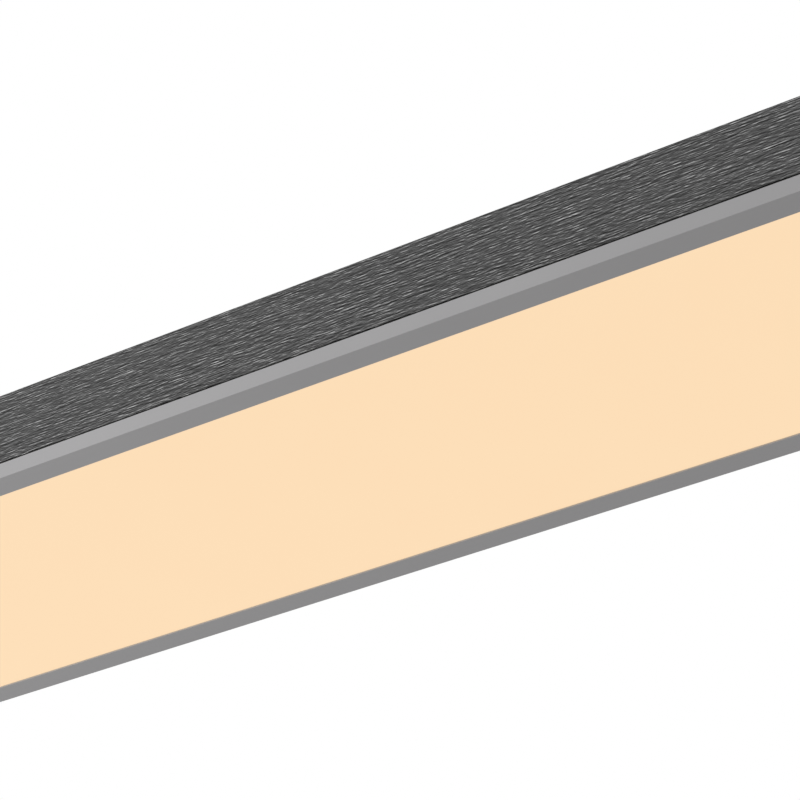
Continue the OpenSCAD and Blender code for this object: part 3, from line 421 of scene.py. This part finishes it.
material, tree = new_material("lit_opal_acrylic")
haze = noise(tree, pattern(tree, HAZE_MM))
silk = noise(tree, pattern(tree, SILK_MM), detail=1, offset=4)
finish(tree, {"Base Color": linear("#241F1A"), "IOR": 1.49,
              "Emission Strength": LENS_GLOW, "Specular IOR Level": LENS_GLOSS},
       {"Emission Color": ramp(tree, haze, ((0.2, "#FFDFB7"), (0.8, "#FFE0B8"))),
        "Roughness": spread(tree, silk, 0.30, 0.36)}, silk, SILK_DEPTH_MM)
finishes["opal_acrylic"] = material
print("lens glow", LENS_GLOW)

# %% [markdown]
# ### Rubber and plastics
# Seals and grommets are cut or moulded from black rubber: dull, with a faint bloom. The
# switch and the cable gland are moulded in black nylon, and the mould's eroded steel
# leaves a fine grain. Connectors and terminals are natural white nylon, a little waxy.
# What comes out of a mould or a die is much alike, so one function makes all of these
# from their colours and their grain.

# %% Rubber and plastics
MOULD_CLOUD_MM = 12
WAXY_SHARE = 0.3


def moulded(name, colours, grain_mm, depth_mm, rough, ior, sheen=0, waxy_mm=0):
    """A moulded material: its colours, grain, and how deep light goes into it."""
    material, tree = new_material(name)
    grain = noise(tree, pattern(tree, grain_mm), detail=3, roughness=0.6)
    cloud = noise(tree, pattern(tree, MOULD_CLOUD_MM), offset=5)
    stops = tuple(zip((0.25, 0.75), colours))
    settings = {"IOR": ior, "Sheen Weight": sheen}
    if waxy_mm:
        settings.update({"Subsurface Weight": WAXY_SHARE,
                         "Subsurface Scale": waxy_mm * MM})
    finish(tree, settings,
           {"Base Color": ramp(tree, cloud, stops),
            "Roughness": spread(tree, grain, *rough)}, grain, depth_mm)
    return material


finishes["black_rubber"] = moulded(
    "moulded_black_rubber", ("#111111", "#191919"), grain_mm=0.5, depth_mm=0.03,
    rough=(0.70, 0.85), ior=1.52, sheen=0.1)
finishes["black_plastic"] = moulded(
    "spark_grained_black_nylon", ("#1D1D1E", "#252526"), grain_mm=0.35, depth_mm=0.02,
    rough=(0.45, 0.60), ior=1.53)
finishes["white_nylon"] = moulded(
    "natural_white_nylon", ("#E6E4DB", "#EFEEE7"), grain_mm=0.6, depth_mm=0.01,
    rough=(0.38, 0.48), ior=1.53, waxy_mm=1)
finishes["capacitor_sleeve"] = moulded(
    "shrunk_dark_blue_sleeve", ("#1B2233", "#232B3E"), grain_mm=1.2, depth_mm=0.01,
    rough=(0.25, 0.33), ior=1.54)
finishes["dark_core"] = moulded(
    "sintered_ferrite", ("#333335", "#404042"), grain_mm=0.4, depth_mm=0.03,
    rough=(0.5, 0.7), ior=2.0)
print("moulded finishes", len(finishes))

# %% [markdown]
# ### Plated and bare metals
# The saddles, the driver's case and most screws are bright zinc on steel, which has a
# soft cloudy lustre of pale blue and yellow. Clips and hangers are spring wire and strip,
# drawn through a die, so fine lines follow their length. Terminals and tags are brass.
# The inside of the housing, which no belt reaches, keeps the anodised skin of the
# extrusion with its faint die lines. One function makes them all, with a grain that is
# stretched where the real one is drawn.

# %% Metals
def metal(name, colours, cloud_mm, grain_mm, rough, depth_mm):
    """A metal: its cloudy colours and its fine grain, which may be stretched."""
    material, tree = new_material(name)
    cloud = noise(tree, pattern(tree, cloud_mm), detail=3, roughness=0.6)
    grain = noise(tree, pattern(tree, grain_mm), roughness=0.6, offset=6)
    stops = tuple(zip((NOISE_LOW, 0.5, NOISE_HIGH), colours))
    finish(tree, {"Metallic": 1.0},
           {"Base Color": ramp(tree, cloud, stops),
            "Roughness": spread(tree, grain, *rough)}, grain, depth_mm)
    return material


finishes["zinc_steel"] = metal(
    "bright_zinc_plate", ("#A3A9B2", "#B7BABD", "#C2C0B6"), cloud_mm=5, grain_mm=0.6,
    rough=(0.26, 0.40), depth_mm=0.006)
finishes["spring_steel"] = metal(
    "drawn_spring_steel", ("#8B8C8D", "#979899", "#A3A29F"), cloud_mm=6,
    grain_mm=(0.3, 3, 3), rough=(0.22, 0.36), depth_mm=0.005)
finishes["plain_aluminium"] = metal(
    "unbrushed_dark_anodised_aluminium", ("#3C3C3D", "#434344", "#4B4B4C"), cloud_mm=25,
    grain_mm=(20, 0.5, 0.5), rough=(0.42, 0.55), depth_mm=0.004)
finishes["brass"] = metal(
    "stamped_brass", ("#B8933F", "#C8A552", "#D2B466"), cloud_mm=4, grain_mm=0.5,
    rough=(0.25, 0.38), depth_mm=0.004)
print("metals done")

# %% [markdown]
# ### Circuit boards
# LED boards are aluminium under a white mask: the copper fields below it stand out as a
# low relief. The driver's board is green glass laminate, whose weave shows faintly. Both
# get a brick pattern for the fields and their gaps, laid out in millimetres.

# %% Boards
FIELD_LONG_MM, FIELD_WIDE_MM = 20, 9
FIELD_GAP_MM, FIELD_SOFT = 0.5, 0.3
THREAD_MM = 0.7
RELIEF_MM = 0.03


def board(name, field, gap, weave):
    """Solder mask over copper fields, whose gaps and weave lie lower than the rest."""
    material, tree = new_material(name)
    fields = add(tree, "ShaderNodeTexBrick",
                 {"Color1": linear(field), "Color2": linear(field), "Mortar": linear(gap),
                  "Scale": 1, "Mortar Size": FIELD_GAP_MM / 2,
                  "Brick Width": FIELD_LONG_MM, "Row Height": FIELD_WIDE_MM,
                  "Mortar Smooth": FIELD_SOFT, "offset": 0},
                 {"Vector": pattern(tree, 1)})
    threads = noise(tree, pattern(tree, THREAD_MM), detail=1)
    height = add(tree, "ShaderNodeMath", {"operation": "MULTIPLY_ADD", 1: weave},
                 {0: threads, 2: fields.outputs["Fac"]})
    low = add(tree, "ShaderNodeMath", {"operation": "MULTIPLY", 1: -1.0},
              {0: height.outputs[0]})
    finish(tree, {"IOR": 1.5}, {"Base Color": fields.outputs["Color"],
                                "Roughness": spread(tree, threads, 0.3, 0.4)},
           low.outputs[0], RELIEF_MM)
    return material


finishes["white_board"] = board("white_solder_mask", "#F2F2ED", "#E3E3DA", 0.05)
finishes["green_board"] = board("green_glass_laminate", "#2E6A3D", "#3F7F4C", 0.25)
print("boards done")

# %% [markdown]
# ### Light emitting diodes
# Each diode is a white moulded cup filled with a phosphor in silicone, which glows a
# warm white. The cup and the filling are two finishes on one piece. The glow is kept
# under white, because a brighter one would lose its colour in the picture.

# %% Diodes
PHOSPHOR_GLOW = 0.9
PHOSPHOR_MM, PHOSPHOR_DEPTH_MM = 0.3, 0.01

finishes["led_cup"] = moulded(
    "moulded_white_led_cup", ("#F0F0EC", "#F6F6F3"), 0.4, 0.005, (0.35, 0.45), 1.5)
material, tree = new_material("lit_phosphor_silicone")
grain = noise(tree, pattern(tree, PHOSPHOR_MM))
finish(tree, {"IOR": 1.41, "Emission Strength": PHOSPHOR_GLOW,
              "Base Color": linear("#5A4A20")},
       {"Emission Color": ramp(tree, grain, ((0.3, "#FFE6B4"), (0.7, "#FFF2D6"))),
        "Roughness": spread(tree, grain, 0.2, 0.3)}, grain, PHOSPHOR_DEPTH_MM)
finishes["led_phosphor"] = material
print("phosphor glow", PHOSPHOR_GLOW)

# %% [markdown]
# ### Insulated leads
# The leads are stranded copper under a skin of soft vinyl. Each circuit has its colour,
# and the earth lead is green with a yellow stripe. Its stripe is cut from bands across
# space. One that winds along the lead would need a map of its own, for a lead that is out
# of sight.

# %% Lead insulation
VINYL_GRAIN_MM, VINYL_DEPTH_MM = 0.9, 0.01
VINYL_ROUGH = (0.34, 0.46)
VINYL_IOR = 1.53
STRIPE_MM = (30, 30, 7.5)
STRIPE_WAVER = 0.4


def vinyl(name, low, high):
    """Extruded vinyl: smooth, with a faint grain."""
    return moulded(name, (low, high), VINYL_GRAIN_MM, VINYL_DEPTH_MM, VINYL_ROUGH,
                   VINYL_IOR)


finishes["brown_wire"] = vinyl("brown_vinyl", "#603820", "#6C4227")
finishes["blue_wire"] = vinyl("blue_vinyl", "#2A58A0", "#3466B0")
finishes["red_wire"] = vinyl("red_vinyl", "#A92A2A", "#B83434")
finishes["black_wire"] = vinyl("black_vinyl", "#1B1B1C", "#262627")
material, tree = new_material("green_and_yellow_vinyl")
stripe = add(tree, "ShaderNodeTexWave",
             {"bands_direction": "Z", "Scale": 1, "Distortion": STRIPE_WAVER},
             {"Vector": pattern(tree, STRIPE_MM)})
grain = noise(tree, pattern(tree, VINYL_GRAIN_MM))
finish(tree, {"IOR": VINYL_IOR},
       {"Base Color": ramp(tree, stripe.outputs["Fac"],
                           ((0.46, "#3F8A3A"), (0.54, "#E2CC3A"))),
        "Roughness": spread(tree, grain, *VINYL_ROUGH)}, grain, VINYL_DEPTH_MM)
finishes["green_yellow_wire"] = material
print("finishes", len(finishes))

# %% [markdown]
# ## Pieces from the solids
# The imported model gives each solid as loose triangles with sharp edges. No real edge is
# that sharp, and a fine round catches the light. So each solid is copied, its triangles
# are joined into whole faces, and a bevel of its real size rounds the edges. The bevel is
# a modifier, because hardened normals then keep the flat faces beside it flat.

# %% Copies of the solids
WELD = 0.002 * MM
FLAT = math.radians(0.5)


def merged(node):
    """A bmesh of a CAD node with its triangles joined into whole faces."""
    work = bmesh.new()
    work.from_mesh(frame["nodes"][node].data)
    bmesh.ops.remove_doubles(work, verts=work.verts, dist=WELD)
    bmesh.ops.dissolve_limit(work, angle_limit=FLAT, verts=work.verts, edges=work.edges)
    return work


def islands(work):
    """The vertices of each separate part of a bmesh, in the order of the mesh."""
    seen, parts = set(), []
    for start in work.verts:
        if start in seen:
            continue
        seen.add(start)
        part = [start]
        for vert in part:
            for edge in vert.link_edges:
                beside = edge.other_vert(vert)
                if beside not in seen:
                    seen.add(beside)
                    part.append(beside)
        parts.append(part)
    return parts


def box_of(part):
    """The lowest and highest corner of the box round some vertices."""
    return (Vector(min(vert.co[i] for vert in part) for i in range(3)),
            Vector(max(vert.co[i] for vert in part) for i in range(3)))


# %% Finished pieces
# Two faces that meet at less than the crease, in degrees, are shaded as one round. The
# rings of a bent wire meet at more than those of a drilled hole.
CREASE, WIRE_CREASE, LEAD_CREASE = 28, 50, 75
EDGE_STEPS = 2


def piece(name, work, slot, node, edge_mm=0, crease=CREASE, extra=(), whole=True):
    """A finished piece that rides with its node, and stands for it if it is whole."""
    limit = math.radians(crease)
    for edge in work.edges:
        edge.smooth = len(edge.link_faces) == 2 and edge.calc_face_angle(0) < limit
    for face in work.faces:
        face.smooth = True
    thing = new_object(name, bpy.data.meshes.new(name))
    work.to_mesh(thing.data)
    work.free()
    for finish_name in (slot, *extra):
        thing.data.materials.append(finishes[finish_name])
    if edge_mm:
        rounding = thing.modifiers.new("rounding", "BEVEL")
        rounding.width = edge_mm * MM
        rounding.segments = EDGE_STEPS
        rounding.limit_method = "ANGLE"
        rounding.angle_limit = limit
        rounding.use_clamp_overlap = False
        rounding.harden_normals = True
    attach(thing, body_of(frame["nodes"][node])[0])
    if whole:
        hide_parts(node)
    print(name, len(thing.data.polygons), "faces")


def dress(slot, edge_mm, pieces, crease=CREASE):
    """Pieces that are plain copies of their nodes, given as name and node."""
    for name, node in pieces.items():
        piece(name, merged(node), slot, node, edge_mm, crease)


# %% [markdown]
# ## Housing and ends
# The housing is one extrusion, with the grooved top, the track for the hangers, the
# shelves and the screw ports in its section. A cast cap closes each end on a cut gasket.
# The extrusion leaves the die with edges of about 0.15 mm, and the caps are tumbled
# softer. The housing could have one finish all over, but with the frame down one looks
# into it, so the faces inside the channel get the plain one. They are the faces between
# its walls and below its top, and the tray and the saddles say where these are: the tray
# fits between the walls, and the saddles lie on the top, which is 2 mm thick.

# %% Housing
TRAY_PLAY = 0.5 * MM
UNDER_SADDLE = 1.5 * MM
CHANNEL_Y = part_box("reflector_tray")[1].y + TRAY_PLAY
CHANNEL_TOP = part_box("saddle_left")[0].z - UNDER_SADDLE

shell = merged("housing")
inner_faces = 0
for face in shell.faces:
    middle = face.calc_center_median()
    if abs(middle.y) < CHANNEL_Y and middle.z < CHANNEL_TOP:
        face.material_index = 1
        inner_faces += 1
print("plain faces in the channel", inner_faces)
piece("housing_shell", shell, "brushed_aluminium", "housing", 0.15,
      extra=("plain_aluminium",))

# %% Caps and gaskets
dress("cap_aluminium", 0.4, {"end_cover_left": "end_cap_left",
                             "end_cover_right": "end_cap_right"})
dress("black_rubber", 0, {"end_gasket_left": "end_seal_left",
                          "end_gasket_right": "end_seal_right",
                          "frame_gasket": "frame_seal"})

# %% [markdown]
# ## Lens frame
# Four rails are mitred and keyed together round the lens. They could be one ring, but
# each rail is its own piece with its own rounds, so that the mitres show as the fine
# lines that real saw cuts leave.

# %% Frame, keys and lens
dress("frame_paint", 0.15, {"frame_bar_front": "frame_rail_front",
                            "frame_bar_rear": "frame_rail_rear",
                            "frame_bar_left": "frame_rail_left",
                            "frame_bar_right": "frame_rail_right"})
dress("zinc_steel", 0.1, {"corner_keys": "frame_corner_keys",
                          "corner_key_grubs": "frame_key_screws"})
dress("opal_acrylic", 0.2, {"lens_pane": "lens"})

# %% [markdown]
# ## Tray and clips
# The tray is folded sheet with a powder coat. Spring clips along both sides hold the
# frame, and rubber grommets line the holes for the leads. All keep the shapes of their
# solids, with a small round where sheet is cut and rubber is moulded.

# %% Tray, clips and grommets
dress("white_steel", 0.15, {"tray_sheet": "reflector_tray"})
dress("spring_steel", 0.1, {"clips_front": "frame_clips_front",
                            "clips_rear": "frame_clips_rear"})
dress("black_rubber", 0.2, {"lead_grommets": "tray_grommets"})

# %% [markdown]
# ## LED boards
# Each board is a strip of aluminium under a white mask. A diode could be a plain block,
# but its cup and its sunk, glowing face are what one sees when the frame is down. So
# each is a cube whose lower face is inset and pushed in, and that face gets the phosphor.

# %% Boards and diodes
dress("white_board", 0.1, {"light_strip_front_left": "led_board_front_left",
                           "light_strip_front_right": "led_board_front_right",
                           "light_strip_rear_left": "led_board_rear_left",
                           "light_strip_rear_right": "led_board_rear_right"})
dress("white_nylon", 0.15, {"strip_plugs": "board_connectors"})

CUP_WALL = 0.45 * MM
CUP_DEPTH = 0.2 * MM


def diodes(node):
    """A cup with a sunk, glowing face for each block of a node."""
    work, blocks = bmesh.new(), merged(node)
    for part in islands(blocks):
        low, high = box_of(part)
        size = high - low
        place = Matrix.Translation((low + high) / 2) @ Matrix.Diagonal((*size, 1))
        cup = bmesh.ops.create_cube(work, size=1, matrix=place)["verts"]
        faces = {face for vert in cup for face in vert.link_faces}
        down = min(faces, key=lambda face: face.calc_center_median().z)
        bmesh.ops.inset_individual(work, faces=[down], thickness=CUP_WALL)
        bmesh.ops.translate(work, verts=down.verts, vec=(0, 0, CUP_DEPTH))
        for face in faces - {down}:
            face.material_index = 1
    blocks.free()
    return work


for row in ("front", "rear"):
    chips = f"led_chips_{row}"
    piece(f"diodes_{row}", diodes(chips), "led_phosphor", chips, extra=("led_cup",))

# %% [markdown]
# ## Driver and supply
# The driver turns the mains into the current for the diodes. Its parts sit in a zinc
# plated case on top of the tray, out of sight, and keep the shapes of their solids.

# %% Driver, terminals and leads
dress("zinc_steel", 0.1, {"driver_tub": "driver_case", "driver_lid": "driver_cover"})
dress("green_board", 0.1, {"driver_circuit": "driver_board"})
dress("dark_core", 0.3, {"driver_coils": "driver_transformer"})
dress("capacitor_sleeve", 0.3, {"driver_cans": "driver_capacitors"})
dress("white_nylon", 0.2, {"driver_plugs": "driver_terminals",
                           "supply_block": "terminal_block"})
dress("brown_wire", 0, {"live_wires": "live_leads"}, LEAD_CREASE)
dress("blue_wire", 0, {"neutral_wire": "neutral_lead"}, LEAD_CREASE)
dress("green_yellow_wire", 0, {"earth_wire": "earth_lead"}, LEAD_CREASE)
dress("red_wire", 0, {"plus_wires": "led_plus_leads"}, LEAD_CREASE)
dress("black_wire", 0, {"minus_wires": "led_minus_leads"}, LEAD_CREASE)

# %% [markdown]
# ## Switch
# A rocker switch snaps into the right end cap. Its paddle carries the two marks that any
# such switch has, a bar for on and a ring for off, moulded in white on its two slopes.
# They could be painted by the material, but a real mark stands a little proud. So the
# ring is a small square spun round, and the bar is a cube, both half sunk in the slope.

# %% Switch and rocker
dress("black_plastic", 0.25, {"switch_housing": "switch_body",
                              "switch_paddle": "switch_rocker"})
dress("brass", 0.05, {"switch_blades": "switch_tabs"})

# The places and the pivot are those of the part's source, in millimetres.
CAP_X, SWITCH_Y, GLAND_Y, FITTING_Z = 600, -34, 22, -32.3
ROCKER_AXIS, ROCKER_TILT = 0.8, 9
# On the paddle a mark's middle is 5.3 mm from the pivot and 2.45 mm above it, on a slope
# of 17.3 degrees.
MARK_OUT, MARK_UP, MARK_SLOPE = 5.3, 2.45, 17.3
MARK_PROUD = 0.12
RING_RADIUS, RING_HALF_STROKE, RING_STEPS = 1.1, 0.4, 32
BAR_WIDTH, BAR_LENGTH = 0.6, 2.8


def fitting(y):
    """The frame of a fitting on the right cap: its own z points out of the cap."""
    turned = Matrix(((0, 0, 1, CAP_X), (1, 0, 0, y), (0, 1, 0, FITTING_Z), (0, 0, 0, 1)))
    return Matrix.Scale(MM, 4) @ turned


def paddle_slope(side):
    """The frame on one slope of the paddle, with its own z off the slope."""
    return (fitting(SWITCH_Y) @ Matrix.Translation((0, 0, ROCKER_AXIS))
            @ Matrix.Rotation(math.radians(ROCKER_TILT), 4, "X")
            @ Matrix.Translation((0, side * MARK_OUT, MARK_UP))
            @ Matrix.Rotation(math.radians(side * MARK_SLOPE), 4, "X"))


marks = bmesh.new()
upright = Matrix.Translation((RING_RADIUS, 0, 0)) @ Matrix.Rotation(math.pi / 2, 4, "X")
square = bmesh.ops.create_circle(marks, segments=4, radius=RING_HALF_STROKE,
                                 cap_ends=False, matrix=upright)["verts"]
bmesh.ops.spin(marks, geom=square + marks.edges[:], cent=(0, 0, 0), axis=(0, 0, 1),
               angle=math.tau, steps=RING_STEPS, use_merge=True)
flattened = Matrix.Diagonal((1, 1, MARK_PROUD / RING_HALF_STROKE, 1))
bmesh.ops.transform(marks, verts=marks.verts, matrix=paddle_slope(-1) @ flattened)
bar = Matrix.Diagonal((BAR_WIDTH, BAR_LENGTH, 2 * MARK_PROUD, 1))
bmesh.ops.create_cube(marks, size=1, matrix=paddle_slope(1) @ bar)
bmesh.ops.recalc_face_normals(marks, faces=marks.faces)
piece("switch_marks", marks, "white_nylon", "switch_rocker", whole=False)

# %% [markdown]
# ## Cable gland
# The gland is moulded nylon: a body with a hexagon, and a domed nut that squeezes a
# rubber seal onto the cable. The photograph shows no cable, so it is empty. The nut
# could be a bevelled prism, but the corners of a real one have curved bevels. So it is
# made as on a lathe: a profile is spun round the bore, and six flats are then cut off it.

# %% Gland
dress("black_plastic", 0.3, {"gland_base": "gland_body", "gland_ring": "gland_locknut"})
dress("black_rubber", 0.2, {"gland_bush": "gland_seal"})

# The first is half the width across the flats. The profile gives radius and height from
# the cap's face, in millimetres.
NUT_FLAT = 9.05
NUT_STEPS, NUT_CREASE = 96, 24
NUT_PROFILE = ((7.6, 5.4), (9.5, 5.4), (10.4, 5.9), (10.4, 11.6), (9.4, 12.4), (9.4, 15.2),
               (9.2, 16.4), (8.8, 17.6), (8.2, 18.8), (7.5, 19.8), (6.7, 20.35), (5.6, 20.4),
               (4.9, 19.9), (4.9, 14.3), (7.6, 14.3))

nut = bmesh.new()
corners = [nut.verts.new((r, 0, z)) for r, z in NUT_PROFILE]
outline = [nut.edges.new(pair) for pair in zip(corners, corners[1:] + corners[:1])]
bmesh.ops.spin(nut, geom=corners + outline, cent=(0, 0, 0), axis=(0, 0, 1),
               angle=math.tau, steps=NUT_STEPS, use_merge=True)
for turn in range(6):
    out = Vector((math.sin(turn * math.pi / 3), math.cos(turn * math.pi / 3), 0))
    bmesh.ops.bisect_plane(nut, geom=nut.verts[:] + nut.edges[:] + nut.faces[:],
                           plane_co=out * NUT_FLAT, plane_no=out, clear_outer=True)
    bmesh.ops.holes_fill(nut, edges=[edge for edge in nut.edges if edge.is_boundary])
bmesh.ops.recalc_face_normals(nut, faces=nut.faces)
nut.transform(fitting(GLAND_Y))
piece("gland_cap", nut, "black_plastic", "gland_nut", 0.12, NUT_CREASE)

# %% [markdown]
# ## Saddles and hangers
# Each saddle is bent zinc plated strip that slides in the track and is clamped by two
# screws. A hanger of spring wire snaps into its side holes and folds down. Both keep the
# shapes of their solids. A wire has no edges, so only the saddles get a round.

# %% Saddles and hangers
dress("zinc_steel", 0.2, {"track_saddle_left": "saddle_left",
                          "track_saddle_right": "saddle_right"})
dress("spring_steel", 0, {"wire_hanger_left": "hanger_left",
                          "wire_hanger_right": "hanger_right"}, WIRE_CREASE)

# %% [markdown]
# ## Screws
# All screws are zinc plated steel, apart from the brass earth screw. Those in the caps
# are countersunk. The others have pan heads, which are struck cold, so that the rim of
# each head is rounded far more than any cut edge. Only that rim is bevelled, and the
# cross in the head stays crisp.

# %% Screws
HEAD_ROUND = 0.7 * MM
HEAD_STEPS = 4
HEAD_EDGE_MM = 0.06
# A rim is what lies at a head's full width and, within 0.01 mm, at an end of the screw.
RIM_SHARE = 0.97
RIM_LEVEL = 0.01 * MM


def pan_heads(node):
    """A copy of a node whose screw heads have rounded rims."""
    work = merged(node)
    ends = set()
    for part in islands(work):
        low, high = box_of(part)
        middle = ((low + high) / 2).xy
        rim = RIM_SHARE * max((vert.co.xy - middle).length for vert in part)
        ends |= {vert for vert in part if (vert.co.xy - middle).length > rim
                 and min(vert.co.z - low.z, high.z - vert.co.z) < RIM_LEVEL}
    rims = [edge for edge in work.edges if ends.issuperset(edge.verts)]
    print(node, len(rims), "rim edges")
    bmesh.ops.bevel(work, geom=rims, offset=HEAD_ROUND, segments=HEAD_STEPS,
                    profile=0.5, affect="EDGES", material=-1)
    return work


dress("zinc_steel", 0.1, {"cap_screws_left": "end_screws_left",
                          "cap_screws_right": "end_screws_right"})
for name, node in {"tray_fixings": "tray_screws", "strip_fixings": "board_screws",
                   "driver_fixings": "driver_screws", "supply_fixings": "terminal_screws",
                   "clamp_screws_left": "saddle_screws_left",
                   "clamp_screws_right": "saddle_screws_right"}.items():
    piece(name, pan_heads(node), "zinc_steel", node, HEAD_EDGE_MM)
piece("earth_fixing", pan_heads("earth_screw"), "brass", "earth_screw", HEAD_EDGE_MM)
